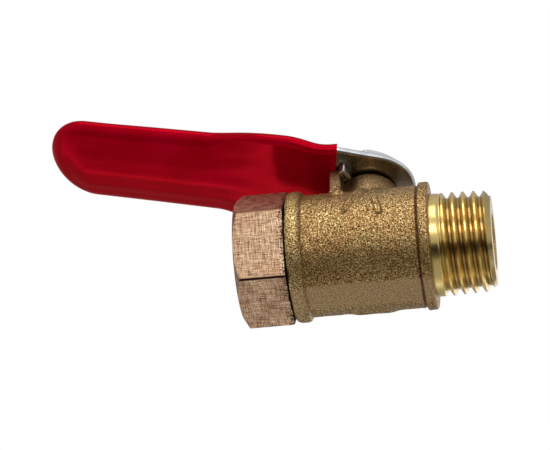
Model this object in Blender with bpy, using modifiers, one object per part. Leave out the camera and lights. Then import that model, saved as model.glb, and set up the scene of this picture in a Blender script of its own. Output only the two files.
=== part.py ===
"""Mini ball valve, 1/4-18 NPT, female by male, with a vinyl-dipped steel lever, shown open.

Frame: metres.  The origin is the centre of the ball, where the pipe's axis crosses the stem's axis.
+X runs along the pipe towards the male end, +Z runs up the stem.  The lever lies over -X when the
valve is open and turns a quarter turn towards -Y to close it.
"""

import math

import bmesh
import bpy
from mathutils import Matrix, Vector

MM = 0.001
GAP = 0.3 * MM                      # clearance kept between neighbouring pieces

# End connector: a hexagon with flats above and below, and a female pipe thread
HEX_FLATS = 15.875 * MM
HEX_LEFT = -17.16 * MM
HEX_RIGHT = -10.45 * MM
HEX_CHAMFER = 0.7 * MM
SOCKET_MOUTH_RADIUS = 5.70 * MM     # crests of the female thread at the mouth
SOCKET_DEPTH = 7.6 * MM
SPIGOT_RADIUS = 6.95 * MM
SPIGOT_END = -5.55 * MM
THREAD_TAPER = 1.0 / 32.0           # pipe thread, change of radius over length

# Body
BODY_LEFT = -10.15 * MM
BODY_RADIUS = 8.09 * MM
BEAD_RADIUS = 8.71 * MM
BEAD_RIGHT = -8.5 * MM
COLLAR_RADIUS = 8.43 * MM
COLLAR_LEFT = 7.2 * MM
COLLAR_RIGHT = 8.52 * MM
SHANK_RADIUS = 6.83 * MM            # plain shank between the collar and the thread
SHANK_RIGHT = 9.6 * MM
THREAD_END_RADIUS = 6.63 * MM       # crests of the male thread at its small end
MALE_END = 16.53 * MM
MALE_CHAMFER = 0.8 * MM
CAVITY_RADIUS = 6.0 * MM
CAVITY_RIGHT = 6.15 * MM
FLOW_RADIUS = 3.6 * MM

# Neck that carries the stem, and the post that stops the lever
NECK_RADIUS = 3.81 * MM
NECK_TOP = 11.15 * MM
NECK_CHAMFER = 0.35 * MM
STEM_BORE_RADIUS = 2.35 * MM
SHOULDER_BORE_RADIUS = 3.0 * MM
SHOULDER_BORE_TOP = 7.8 * MM
POST_NEAR = 3.3 * MM                # the square post spans near to far along both -X and -Y
POST_FAR = 4.8 * MM
POST_TOP = 11.0 * MM

# Ball and its seats
BALL_RADIUS = 5.75 * MM
PORT_RADIUS = 3.25 * MM
SLOT_WIDTH = 2.6 * MM
SLOT_FLOOR = 3.95 * MM
SEAT_RADIUS = 5.75 * MM
SEAT_FRONT = 3.15 * MM
SEAT_BACK = 5.85 * MM
SEAT_INLET_BACK = 5.25 * MM

# Stem, from the tang in the ball's slot up to the threaded top
TANG_THICKNESS = 2.0 * MM
TANG_LENGTH = 4.6 * MM
TANG_BOTTOM = 4.25 * MM
SHOULDER_BOTTOM = 6.15 * MM
SHOULDER_TOP = 7.05 * MM
SHOULDER_RADIUS = 2.7 * MM
STEM_RADIUS = 2.05 * MM
STEM_SHOULDER = 11.1 * MM
STUD_RADIUS = 1.95 * MM
STUD_HALF_FLATS = 1.45 * MM
STUD_TOP = 16.35 * MM
GROOVE_RADIUS = 1.35 * MM
GROOVE_HEIGHT = 1.0 * MM
O_RING_HEIGHTS = {"stem_o_ring_lower": 8.75 * MM, "stem_o_ring_upper": 10.25 * MM}
O_RING_CENTRE_RADIUS = 1.85 * MM
O_RING_SECTION_RADIUS = 0.35 * MM

# Lever: a steel plate whose middle surface follows a bent path away from the stem
LEVER_THICKNESS = 1.0 * MM
LEVER_LEVEL = 11.95 * MM            # height of the plate's middle surface at the stem
HEAD_RADIUS = 6.35 * MM
HEAD_FLARE = math.radians(20.5)     # how fast the plate widens away from the round head
BLANK_WAIST = 8.05 * MM             # half width of the flat blank where it leaves the head
BLANK_NECK = 9.0 * MM               # half width of the flat blank at its widest
BLANK_HANDLE = 6.95 * MM            # half width of the flat blank along the handle
WAIST_TO_NECK = (4.0 * MM, 11.0 * MM)
LEVER_LENGTH = 46.2 * MM            # along the bent path, from the stem's axis to the tip
TIP_BLUNTNESS = 0.87                # length of the elliptical tip over its half width
FOLD_ANGLE = math.radians(50)       # how far each side of the handle is rolled up
FOLD_LENGTH = 4.0 * MM              # width of the rolled strip
FLANGE = 0.45 * MM                  # straight strip above the bend
FOLD_START = 11.8 * MM
FOLD_FULL = 23.0 * MM
NECK_RISE = math.radians(20.5)
HANDLE_RISE = math.radians(15.7)
NECK_BEND = (4.0 * MM, 7.7 * MM)
HANDLE_BEND = (7.7 * MM, 10.8 * MM)
HANDLE_STEPS = 18
ROLLED_WIDTH = FOLD_LENGTH / FOLD_ANGLE * math.sin(FOLD_ANGLE) + FLANGE * math.cos(FOLD_ANGLE)
FOLDED_HALF_WIDTH = BLANK_HANDLE - FLANGE - FOLD_LENGTH + ROLLED_WIDTH
TIP_CENTRE = LEVER_LENGTH - TIP_BLUNTNESS * FOLDED_HALF_WIDTH
EAR_AZIMUTH = math.radians(63)      # either side of the lever's own centre line
EAR_INNER = 4.95 * MM
EAR_OUTER = 6.75 * MM
EAR_BOTTOM = 9.2 * MM
EAR_THICKNESS = 1.0 * MM

# Vinyl sleeve dipped over the lever
GRIP_START = 4.9 * MM
GRIP_SLANT = 0.19                   # the dip line runs askew across the plate
GRIP_SLANT_FADE = 4.5 * MM
GRIP_PLAY = 0.15 * MM
GRIP_WALL = 0.3 * MM
GRIP_ROUNDING = 0.6 * MM

# Nut
NUT_FLATS = 7.0 * MM
NUT_BOTTOM = 12.75 * MM
NUT_TOP = 15.92 * MM
NUT_BORE_RADIUS = 2.3 * MM

ROUND_STEPS = 48
SMALL_STEPS = 32

BRASS_CAST = (0.42, 0.27, 0.11, 1.0)
BRASS_CUT = (0.62, 0.38, 0.20, 1.0)
CHROME = (0.75, 0.76, 0.78, 1.0)
STEEL = (0.70, 0.71, 0.73, 1.0)
VINYL = (0.42, 0.0, 0.015, 1.0)
PTFE = (0.86, 0.86, 0.84, 1.0)
NITRILE = (0.02, 0.02, 0.02, 1.0)


def clear_scene():
    for obj in list(bpy.data.objects):
        bpy.data.objects.remove(obj, do_unlink=True)


def new_collection(name):
    collection = bpy.data.collections.new(name)
    bpy.context.scene.collection.children.link(collection)
    return collection


def new_material(name, colour, roughness, metallic):
    material = bpy.data.materials.new(name)
    material.use_nodes = True
    shader = material.node_tree.nodes["Principled BSDF"]
    shader.inputs["Base Color"].default_value = colour
    shader.inputs["Roughness"].default_value = roughness
    shader.inputs["Metallic"].default_value = metallic
    return material


def link_mesh(name, mesh, collection, material=None):
    obj = bpy.data.objects.new(name, mesh)
    collection.objects.link(obj)
    if material:
        mesh.materials.append(material)
    return obj


def bmesh_object(name, shape, collection, material=None):
    mesh = bpy.data.meshes.new(name)
    shape.to_mesh(mesh)
    shape.free()
    return link_mesh(name, mesh, collection, material)


def turned(name, profile, collection, material=None, along="Z", steps=ROUND_STEPS):
    """Turn a closed profile of (radius, height) points, outer side first and running down."""
    mesh = bpy.data.meshes.new(name)
    points = [(radius, 0.0, height) for radius, height in profile]
    edges = [(i, (i + 1) % len(points)) for i in range(len(points))]
    mesh.from_pydata(points, edges, [])
    obj = link_mesh(name, mesh, collection, material)
    if along == "X":
        obj.rotation_euler = (0.0, math.radians(90), 0.0)
    screw = obj.modifiers.new("Turn", "SCREW")
    screw.steps = steps
    screw.render_steps = steps
    screw.use_merge_vertices = True
    screw.merge_threshold = 0.000001
    screw.use_smooth_shade = False
    return obj


def cylinder(name, radius, low, high, collection, material=None, along="Z", steps=ROUND_STEPS):
    shape = bmesh.new()
    bmesh.ops.create_cone(shape, cap_ends=True, segments=steps, radius1=radius, radius2=radius,
                          depth=high - low)
    bmesh.ops.translate(shape, verts=shape.verts, vec=(0.0, 0.0, (low + high) / 2))
    if along == "X":
        turn = Matrix.Rotation(math.radians(90), 3, "Y")
        bmesh.ops.rotate(shape, verts=shape.verts, matrix=turn)
    return bmesh_object(name, shape, collection, material)


def box(name, low, high, collection, material=None):
    shape = bmesh.new()
    bmesh.ops.create_cube(shape, size=1.0)
    low, high = Vector(low), Vector(high)
    bmesh.ops.scale(shape, verts=shape.verts, vec=high - low)
    bmesh.ops.translate(shape, verts=shape.verts, vec=(low + high) / 2)
    return bmesh_object(name, shape, collection, material)


def boolean(obj, other, operation):
    modifier = obj.modifiers.new(operation.title() + " " + other.name, "BOOLEAN")
    modifier.operation = operation
    modifier.solver = "EXACT"
    modifier.object = other
    other.hide_render = True
    other.display_type = "WIRE"


def smooth(obj, angle=35):
    obj.data.shade_smooth()
    obj.data.set_sharp_from_angle(angle=math.radians(angle))


def blend(value, low, high):
    """Smooth step from 0 at low to 1 at high."""
    t = min(max((value - low) / (high - low), 0.0), 1.0)
    return t * t * (3 - 2 * t)


# ---------------------------------------------------------------- pipe pieces

def make_body(parts, tools, brass):
    end = THREAD_END_RADIUS - MALE_CHAMFER
    bore = SPIGOT_RADIUS + GAP
    profile = [
        (end, MALE_END),
        (THREAD_END_RADIUS, MALE_END - MALE_CHAMFER),
        (SHANK_RADIUS, SHANK_RIGHT),
        (SHANK_RADIUS, COLLAR_RIGHT),
        (COLLAR_RADIUS, COLLAR_RIGHT),
        (COLLAR_RADIUS, COLLAR_LEFT),
        (BODY_RADIUS, COLLAR_LEFT - 0.1 * MM),
        (BODY_RADIUS, BEAD_RIGHT + 0.5 * MM),
        (BEAD_RADIUS - 0.15 * MM, BEAD_RIGHT),
        (BEAD_RADIUS, (BEAD_RIGHT + BODY_LEFT) / 2),
        (BEAD_RADIUS - 0.3 * MM, BODY_LEFT + 0.2 * MM),
        (BEAD_RADIUS - 0.75 * MM, BODY_LEFT),
        (bore, BODY_LEFT),
        (bore, SPIGOT_END + GAP),
        (CAVITY_RADIUS, SPIGOT_END + GAP),
        (CAVITY_RADIUS, CAVITY_RIGHT),
        (FLOW_RADIUS, CAVITY_RIGHT),
        (FLOW_RADIUS, MALE_END),
    ]
    body = turned("valve_body", profile, parts, brass, along="X")

    foot = BODY_RADIUS - 1.5 * MM
    neck_profile = [
        (NECK_RADIUS - NECK_CHAMFER, NECK_TOP),
        (NECK_RADIUS, NECK_TOP - NECK_CHAMFER),
        (NECK_RADIUS, foot),
        (0.0, foot),
        (0.0, NECK_TOP),
    ]
    boolean(body, turned("neck", neck_profile, tools, steps=SMALL_STEPS), "UNION")

    post = box("stop_post", (-POST_FAR, -POST_FAR, BODY_RADIUS - 2.4 * MM),
               (-POST_NEAR, -POST_NEAR, POST_TOP), tools)
    boolean(body, post, "UNION")

    stem_hole = cylinder("stem_hole", STEM_BORE_RADIUS, 1.0 * MM, NECK_TOP + 1.0 * MM, tools,
                         steps=SMALL_STEPS)
    boolean(body, stem_hole, "DIFFERENCE")
    shoulder_hole = cylinder("shoulder_hole", SHOULDER_BORE_RADIUS, 1.2 * MM, SHOULDER_BORE_TOP,
                             tools, steps=SMALL_STEPS)
    boolean(body, shoulder_hole, "DIFFERENCE")
    smooth(body)
    return body


def make_end_connector(parts, tools, brass):
    shape = bmesh.new()
    corner = HEX_FLATS / math.sqrt(3)
    bmesh.ops.create_cone(shape, cap_ends=True, segments=6, radius1=corner, radius2=corner,
                          depth=HEX_RIGHT - HEX_LEFT)
    turn = Matrix.Rotation(math.radians(90), 3, "Y")
    bmesh.ops.rotate(shape, verts=shape.verts, matrix=turn)
    bmesh.ops.translate(shape, verts=shape.verts, vec=((HEX_LEFT + HEX_RIGHT) / 2, 0.0, 0.0))
    connector = bmesh_object("end_connector", shape, parts, brass)

    # A blunt cone cuts the six corners back at the open end.
    reach = 3.0 * MM
    slope = HEX_CHAMFER / (corner - HEX_FLATS / 2)
    rim = HEX_FLATS / 2
    cone_profile = [
        (rim + reach / slope, HEX_LEFT + reach),
        (rim, HEX_LEFT),
        (rim - 0.8 * MM, HEX_LEFT - 1.0 * MM),
        (rim + reach / slope + 2.0 * MM, HEX_LEFT - 1.0 * MM),
        (rim + reach / slope + 2.0 * MM, HEX_LEFT + reach),
    ]
    cone_profile.reverse()
    corners = turned("corner_cone", cone_profile, tools, along="X")
    boolean(connector, corners, "DIFFERENCE")

    spigot = cylinder("spigot", SPIGOT_RADIUS, HEX_RIGHT - 1.0 * MM, SPIGOT_END, tools, along="X")
    boolean(connector, spigot, "UNION")

    floor = HEX_LEFT + SOCKET_DEPTH
    inner = SOCKET_MOUTH_RADIUS - SOCKET_DEPTH * THREAD_TAPER
    socket_profile = [
        (FLOW_RADIUS, 0.0),
        (FLOW_RADIUS, floor + 0.9 * MM),
        (inner, floor),
        (SOCKET_MOUTH_RADIUS, HEX_LEFT + 0.6 * MM),
        (SOCKET_MOUTH_RADIUS + 0.9 * MM, HEX_LEFT - 0.3 * MM),
        (0.0, HEX_LEFT - 0.3 * MM),
        (0.0, 0.0),
    ]
    boolean(connector, turned("socket", socket_profile, tools, along="X"), "DIFFERENCE")
    smooth(connector, 20)
    return connector


def make_ball(parts, tools, chrome):
    shape = bmesh.new()
    bmesh.ops.create_uvsphere(shape, u_segments=32, v_segments=18, radius=BALL_RADIUS)
    ball = bmesh_object("ball", shape, parts, chrome)
    reach = BALL_RADIUS + 1.0 * MM
    port = cylinder("ball_port", PORT_RADIUS, -reach, reach, tools, along="X", steps=SMALL_STEPS)
    boolean(ball, port, "DIFFERENCE")
    slot = box("ball_slot", (-SLOT_WIDTH / 2, -reach, SLOT_FLOOR), (SLOT_WIDTH / 2, reach, reach),
               tools)
    boolean(ball, slot, "DIFFERENCE")
    smooth(ball)
    return ball


def make_seat(name, side, back, parts, ptfe):
    """A seat ring whose hollow face hugs the ball; side is +1 towards the male end."""
    hug = BALL_RADIUS + 0.2 * MM
    face = []
    for step in range(4):
        radius = SEAT_RADIUS - 0.6 * MM - step * (SEAT_RADIUS - 0.6 * MM - FLOW_RADIUS) / 3
        face.append((radius, math.sqrt(hug ** 2 - radius ** 2)))
    front = max(SEAT_FRONT, face[0][1])
    outline = [(SEAT_RADIUS, front)] + face + [(FLOW_RADIUS, back), (SEAT_RADIUS, back)]
    if side < 0:
        outline.reverse()
    profile = [(radius, side * height) for radius, height in outline]
    seat = turned(name, profile, parts, ptfe, along="X")
    smooth(seat)
    return seat


# ---------------------------------------------------------------- stem pieces

def make_stem(parts, tools, brass):
    profile = [(STUD_RADIUS - 0.3 * MM, STUD_TOP), (STUD_RADIUS, STUD_TOP - 0.3 * MM),
               (STUD_RADIUS, STEM_SHOULDER), (STEM_RADIUS, STEM_SHOULDER)]
    for height in sorted(O_RING_HEIGHTS.values(), reverse=True):
        top = height + GROOVE_HEIGHT / 2
        low = height - GROOVE_HEIGHT / 2
        profile += [(STEM_RADIUS, top), (GROOVE_RADIUS, top), (GROOVE_RADIUS, low),
                    (STEM_RADIUS, low)]
    profile += [(STEM_RADIUS, SHOULDER_TOP), (SHOULDER_RADIUS, SHOULDER_TOP),
                (SHOULDER_RADIUS, SHOULDER_BOTTOM), (0.0, SHOULDER_BOTTOM), (0.0, STUD_TOP)]
    stem = turned("stem", profile, parts, brass, steps=SMALL_STEPS)

    tang = box("tang", (-TANG_THICKNESS / 2, -TANG_LENGTH / 2, TANG_BOTTOM),
               (TANG_THICKNESS / 2, TANG_LENGTH / 2, SHOULDER_BOTTOM + 0.3 * MM), tools)
    boolean(stem, tang, "UNION")
    for side in (-1, 1):
        near = side * STUD_HALF_FLATS
        far = side * 4.0 * MM
        flat = box("stud_flat", (-4.0 * MM, min(near, far), STEM_SHOULDER),
                   (4.0 * MM, max(near, far), STUD_TOP + 1.0 * MM), tools)
        boolean(stem, flat, "DIFFERENCE")
    smooth(stem)
    return stem


def make_thrust_washer(parts, ptfe):
    low = SHOULDER_TOP + 0.15 * MM
    high = SHOULDER_BORE_TOP - 0.15 * MM
    inner = STEM_RADIUS + 0.15 * MM
    profile = [(SHOULDER_RADIUS, high), (SHOULDER_RADIUS, low), (inner, low), (inner, high)]
    return turned("stem_thrust_washer", profile, parts, ptfe, steps=SMALL_STEPS)


def make_o_ring(name, height, parts, rubber):
    bpy.ops.mesh.primitive_torus_add(major_segments=SMALL_STEPS, minor_segments=8,
                                     major_radius=O_RING_CENTRE_RADIUS,
                                     minor_radius=O_RING_SECTION_RADIUS,
                                     location=(0.0, 0.0, height))
    ring = bpy.context.object
    ring.name = name
    ring.data.name = name
    ring.data.materials.append(rubber)
    for collection in list(ring.users_collection):
        collection.objects.unlink(ring)
    parts.objects.link(ring)
    ring.data.shade_smooth()
    return ring


# ---------------------------------------------------------------- lever pieces

def rise_angle(s):
    """Slope of the lever's middle line at a distance s along it."""
    return NECK_RISE * blend(s, *NECK_BEND) + (HANDLE_RISE - NECK_RISE) * blend(s, *HANDLE_BEND)


def lever_frame(s):
    """Point on the lever's middle line at a distance s from the stem, and the plate's normal."""
    x, z = 0.0, LEVER_LEVEL
    if s <= 0:
        return Vector((-s, 0.0, z)), Vector((0.0, 0.0, 1.0))
    slices = 60
    for step in range(slices):
        angle = rise_angle((step + 0.5) * s / slices)
        x -= math.cos(angle) * s / slices
        z += math.sin(angle) * s / slices
    angle = rise_angle(s)
    return Vector((x, 0.0, z)), Vector((math.sin(angle), 0.0, math.cos(angle)))


def fold_angle(s):
    return FOLD_ANGLE * blend(s, FOLD_START, FOLD_FULL)


def blank_half_width(s):
    """Half width of the flat blank at a distance s along the lever, up to where the tip starts."""
    tangent = -HEAD_RADIUS * math.sin(HEAD_FLARE)
    if s < tangent:
        return math.sqrt(max(HEAD_RADIUS ** 2 - s ** 2, 0.0))
    flare = HEAD_RADIUS * math.cos(HEAD_FLARE) + (s - tangent) * math.tan(HEAD_FLARE)
    neck = BLANK_WAIST + (BLANK_NECK - BLANK_WAIST) * blend(s, *WAIST_TO_NECK)
    neck += (BLANK_HANDLE - BLANK_NECK) * blend(s, FOLD_START, FOLD_FULL)
    return min(flare, neck)


def slant(s):
    """How far the rows across the plate lean, so that the vinyl's end is cut askew."""
    lean = blend(s, 0.0, GRIP_START) - blend(s, GRIP_START, GRIP_START + GRIP_SLANT_FADE)
    return GRIP_SLANT * lean


def edge_half_width(s, side):
    """Half width where a leaning row meets the blank's edge."""
    half = blank_half_width(s)
    for _ in range(4):
        half = blank_half_width(s + slant(s) * side * half)
    return half


def fold_line(half_width):
    """Unfolded distance from the middle line to where the edge starts to bend."""
    return max(half_width - FLANGE - FOLD_LENGTH, 0.2 * half_width)


def fold_point(across, half_width, angle):
    """Unfolded distance from the middle line to (outward, upward) on the folded section."""
    flat = fold_line(half_width)
    if across <= flat or angle < 1e-6:
        return across, 0.0
    radius = FOLD_LENGTH / angle
    turned_by = min((across - flat) / radius, angle)
    beyond = max(across - flat - FOLD_LENGTH, 0.0)
    outward = flat + radius * math.sin(turned_by) + beyond * math.cos(angle)
    return outward, radius * (1 - math.cos(turned_by)) + beyond * math.sin(angle)


def across_stations(half_width, reach):
    """Unfolded distances from the edge to the middle line, closer together in the bend."""
    flat = fold_line(half_width)
    bend = min(FOLD_LENGTH, (reach - flat) * 0.75)
    shares = (1, 0.75, 0.5, 0.25, 0)
    return [reach] + [flat + bend * share for share in shares] + [flat / 2, 0.0]


def lever_point(s, across, half_width, direction=None):
    """One point of the middle surface.  Around the tip, direction turns from -Y to +Y."""
    if direction is None:
        s += slant(s) * across
    origin, normal = lever_frame(s)
    outward, upward = fold_point(abs(across), half_width, fold_angle(s))
    if direction is None:
        spoke = Vector((0.0, math.copysign(1.0, across), 0.0))
    else:
        along = Vector((-normal.z, 0.0, normal.x))
        along *= TIP_BLUNTNESS
        spoke = along * math.cos(direction) + Vector((0.0, math.sin(direction), 0.0))
    return origin + spoke * outward + normal * upward


def handle_stations(count):
    """Distances along the lever shared by the plate, the vinyl and the hollow in the vinyl."""
    return [GRIP_START + (TIP_CENTRE - GRIP_START) * i / count for i in range(count + 1)]


def head_stations(count):
    """Distances across the round head, close together where its outline turns fastest."""
    span = GRIP_START + HEAD_RADIUS
    return [-HEAD_RADIUS + span * (1 - math.cos(math.pi / 2 * i / count)) for i in range(count)]


def lever_surface(name, stations, grow, collection, tip_steps=10):
    """The lever's middle surface as an open sheet along the stations and round the tip."""
    spokes = []
    for side in (-1, 1):
        line = []
        for s in stations:
            half = edge_half_width(s, side)
            reach = half + grow if half > 0.0 else 0.0
            line.append([lever_point(s, side * across, half)
                         for across in across_stations(half, reach)])
        spokes.append(line)
    fan = []
    for i in range(1, tip_steps):
        direction = -math.pi / 2 + math.pi * i / tip_steps
        fan.append([lever_point(TIP_CENTRE, across, BLANK_HANDLE, direction)
                    for across in across_stations(BLANK_HANDLE, BLANK_HANDLE + grow)])
    ordered = spokes[0] + fan + spokes[1][::-1]
    shape = bmesh.new()
    grid = [[shape.verts.new(point) for point in points] for points in ordered]
    for a, b in zip(grid, grid[1:]):
        for j in range(len(a) - 1):
            shape.faces.new([a[j], a[j + 1], b[j + 1], b[j]])
    bmesh.ops.remove_doubles(shape, verts=shape.verts, dist=0.000001)
    bmesh.ops.dissolve_degenerate(shape, dist=0.000001, edges=shape.edges)
    bmesh.ops.recalc_face_normals(shape, faces=shape.faces)
    return bmesh_object(name, shape, collection)


def thicken(obj, thickness):
    solidify = obj.modifiers.new("Thickness", "SOLIDIFY")
    solidify.thickness = thickness
    solidify.offset = 0.0
    solidify.use_even_offset = True
    return solidify


def make_lever(parts, tools, steel):
    stations = head_stations(10) + handle_stations(HANDLE_STEPS)
    lever = lever_surface("lever", stations, 0.0, parts)
    lever.data.materials.append(steel)
    thicken(lever, LEVER_THICKNESS)

    hole = cylinder("stud_hole", STUD_RADIUS + GAP, 9.0 * MM, 15.0 * MM, tools, steps=SMALL_STEPS)
    for side in (-1, 1):
        near = side * (STUD_HALF_FLATS + GAP)
        far = side * 4.0 * MM
        flat = box("hole_flat", (-4.0 * MM, min(near, far), 8.0 * MM),
                   (4.0 * MM, max(near, far), 16.0 * MM), tools)
        boolean(hole, flat, "DIFFERENCE")
    boolean(lever, hole, "DIFFERENCE")

    for side in (-1, 1):
        ear = box("stop_ear", (EAR_INNER, -EAR_THICKNESS / 2, EAR_BOTTOM),
                  (EAR_OUTER, EAR_THICKNESS / 2, LEVER_LEVEL), tools)
        ear.rotation_euler = (0.0, 0.0, math.radians(180) + side * EAR_AZIMUTH)
        boolean(lever, ear, "UNION")
    smooth(lever)
    return lever


def make_grip(parts, tools, vinyl):
    stations = handle_stations(HANDLE_STEPS)
    grip = lever_surface("lever_grip", stations, GRIP_PLAY + GRIP_WALL, parts)
    grip.data.materials.append(vinyl)
    thicken(grip, LEVER_THICKNESS + 2 * (GRIP_PLAY + GRIP_WALL))
    rounding = grip.modifiers.new("Rounding", "BEVEL")
    rounding.width = GRIP_ROUNDING
    rounding.segments = 2
    rounding.limit_method = "ANGLE"
    rounding.angle_limit = math.radians(50)
    hollow = lever_surface("grip_hollow", [GRIP_START - 1.0 * MM] + stations, GRIP_PLAY, tools)
    thicken(hollow, LEVER_THICKNESS + 2 * GRIP_PLAY)
    boolean(grip, hollow, "DIFFERENCE")
    smooth(grip)
    return grip


def make_nut(parts, tools, steel):
    shape = bmesh.new()
    corner = NUT_FLATS / math.sqrt(3)
    bmesh.ops.create_cone(shape, cap_ends=True, segments=6, radius1=corner, radius2=corner,
                          depth=NUT_TOP - NUT_BOTTOM)
    bmesh.ops.translate(shape, verts=shape.verts, vec=(0.0, 0.0, (NUT_TOP + NUT_BOTTOM) / 2))
    nut = bmesh_object("handle_nut", shape, parts, steel)
    rim = NUT_FLATS / 2 - 0.25 * MM
    drop = 1.2 * MM
    outside = rim + drop / math.tan(math.radians(30))
    cone_profile = [
        (outside + 1.0 * MM, NUT_TOP + 0.5 * MM),
        (outside + 1.0 * MM, NUT_TOP - drop),
        (outside, NUT_TOP - drop),
        (rim, NUT_TOP),
        (rim, NUT_TOP + 0.5 * MM),
    ]
    boolean(nut, turned("nut_cone", cone_profile, tools, steps=SMALL_STEPS), "DIFFERENCE")
    bore = cylinder("nut_bore", NUT_BORE_RADIUS, NUT_BOTTOM - 1.0 * MM, NUT_TOP + 1.0 * MM, tools,
                    steps=SMALL_STEPS)
    boolean(nut, bore, "DIFFERENCE")
    smooth(nut, 20)
    return nut


def main():
    clear_scene()
    parts = new_collection("ball_valve")
    tools = new_collection("cutters")

    cast = new_material("cast_brass", BRASS_CAST, 0.55, 0.8)
    cut = new_material("machined_brass", BRASS_CUT, 0.35, 0.9)
    chrome = new_material("chrome", CHROME, 0.08, 1.0)
    steel = new_material("zinc_steel", STEEL, 0.3, 1.0)
    vinyl = new_material("red_vinyl", VINYL, 0.25, 0.0)
    ptfe = new_material("ptfe", PTFE, 0.5, 0.0)
    rubber = new_material("nitrile", NITRILE, 0.6, 0.0)

    make_body(parts, tools, cast)
    make_end_connector(parts, tools, cut)
    ball = make_ball(parts, tools, chrome)
    make_seat("seat_ring_inlet", -1, SEAT_INLET_BACK, parts, ptfe)
    make_seat("seat_ring_outlet", 1, SEAT_BACK, parts, ptfe)

    spindle = bpy.data.objects.new("stem_axis", None)
    parts.objects.link(spindle)
    turning = [make_stem(parts, tools, cut)]
    for name, height in O_RING_HEIGHTS.items():
        turning.append(make_o_ring(name, height, parts, rubber))
    turning.append(make_lever(parts, tools, steel))
    turning.append(make_grip(parts, tools, vinyl))
    turning.append(make_nut(parts, tools, steel))
    for obj in turning + [ball]:
        obj.parent = spindle
    make_thrust_washer(parts, ptfe)


main()
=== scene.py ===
"""Looks of the mini ball valve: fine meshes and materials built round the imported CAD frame.

The frame's origin is the centre of the ball, +X runs to the male end and +Z runs up the stem.
Lengths are metres.  Pieces that turn with the lever ride on "handle", the ball on "closure".
"""

import math

import bmesh
import bpy
import numpy as np
from mathutils import Matrix, Vector, noise


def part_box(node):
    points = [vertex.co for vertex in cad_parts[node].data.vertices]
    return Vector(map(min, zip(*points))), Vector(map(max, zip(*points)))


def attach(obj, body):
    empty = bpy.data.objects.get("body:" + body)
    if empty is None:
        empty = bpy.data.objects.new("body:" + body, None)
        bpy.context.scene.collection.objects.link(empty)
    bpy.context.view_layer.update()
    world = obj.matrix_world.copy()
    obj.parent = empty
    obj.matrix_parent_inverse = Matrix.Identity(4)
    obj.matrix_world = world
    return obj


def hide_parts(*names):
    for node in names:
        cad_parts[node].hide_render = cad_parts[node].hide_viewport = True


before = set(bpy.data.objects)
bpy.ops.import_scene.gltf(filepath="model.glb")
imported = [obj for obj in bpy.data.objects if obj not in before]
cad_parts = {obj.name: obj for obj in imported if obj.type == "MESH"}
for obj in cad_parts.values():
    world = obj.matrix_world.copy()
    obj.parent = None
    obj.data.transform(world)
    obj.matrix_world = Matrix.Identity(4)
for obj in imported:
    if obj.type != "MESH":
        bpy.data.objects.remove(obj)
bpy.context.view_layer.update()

MM = 0.001
GAP = 0.3 * MM
TURN = 2 * math.pi

# Sizes read from the CAD
hex_low, hex_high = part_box("end_connector")
body_low, body_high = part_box("valve_body")
_, ball_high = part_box("ball")
stem_low, stem_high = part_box("stem")
nut_low, nut_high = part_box("handle_nut")
_, lever_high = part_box("lever")
_, seat_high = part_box("seat_ring_outlet")

# Pipe pieces
HEX_HALF = hex_high.z                # half the distance across flats
HEX_LEFT = hex_low.x
HEX_RIGHT = body_low.x - GAP
HEX_EDGE = 0.16 * MM                 # rounding of the six long edges
HEX_CHAMFER = 0.72 * MM
SPIGOT_RADIUS = 6.95 * MM
SPIGOT_END = -5.55 * MM
SOCKET_RADIUS = 5.70 * MM
SOCKET_DEPTH = 7.6 * MM
BEAD_RADIUS = -body_low.z
BODY_RADIUS = BEAD_RADIUS - 0.62 * MM
COLLAR_RADIUS = BEAD_RADIUS - 0.26 * MM
BODY_LEFT = body_low.x
BEAD_RIGHT = -8.15 * MM
COLLAR_LEFT = 7.15 * MM
COLLAR_RIGHT = 8.52 * MM
SHANK_RADIUS = 6.8 * MM
SHANK_RIGHT = 9.45 * MM
MALE_END = body_high.x
MALE_CREST = 6.63 * MM               # crest radius at the small end
MALE_CHAMFER = 0.85 * MM
CAVITY_RADIUS = 6.0 * MM
CAVITY_RIGHT = seat_high.x + GAP
FLOW_RADIUS = 3.6 * MM
PIPE_PITCH = 1.411 * MM
PIPE_DEPTH = 0.76 * MM
PIPE_TAPER = 1 / 32
STATIONS = 12                        # rows in each pitch of a thread

# Neck, post and stem
NECK_RADIUS = 3.81 * MM
NECK_TOP = body_high.z
STEM_BORE = 2.35 * MM
SHOULDER_BORE = 3.0 * MM
SHOULDER_BORE_TOP = 7.8 * MM
POST_CENTRE = -4.05 * MM             # along both X and Y
POST_WIDTH = 1.5 * MM
POST_TOP = NECK_TOP - 0.15 * MM
PORT_RADIUS = 3.25 * MM
SLOT_SIZE = (2.6 * MM, 14 * MM, 4 * MM)
SLOT_LEVEL = 5.95 * MM
TANG_SIZE = (2.0 * MM, 4.6 * MM, 2.4 * MM)
BLOWOUT_RADIUS = 2.7 * MM
BLOWOUT_LEVELS = (6.15 * MM, 7.05 * MM)
STEM_SHOULDER = 11.1 * MM
O_RING_LEVELS = (8.75 * MM, 10.25 * MM)
GROOVE_RADIUS = 1.35 * MM
STEM_RADIUS = 2.05 * MM
STUD_RADIUS = 1.95 * MM
STUD_HALF_FLATS = 1.45 * MM
STUD_PITCH = 0.7 * MM
NUT_HALF = nut_high.x

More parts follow.
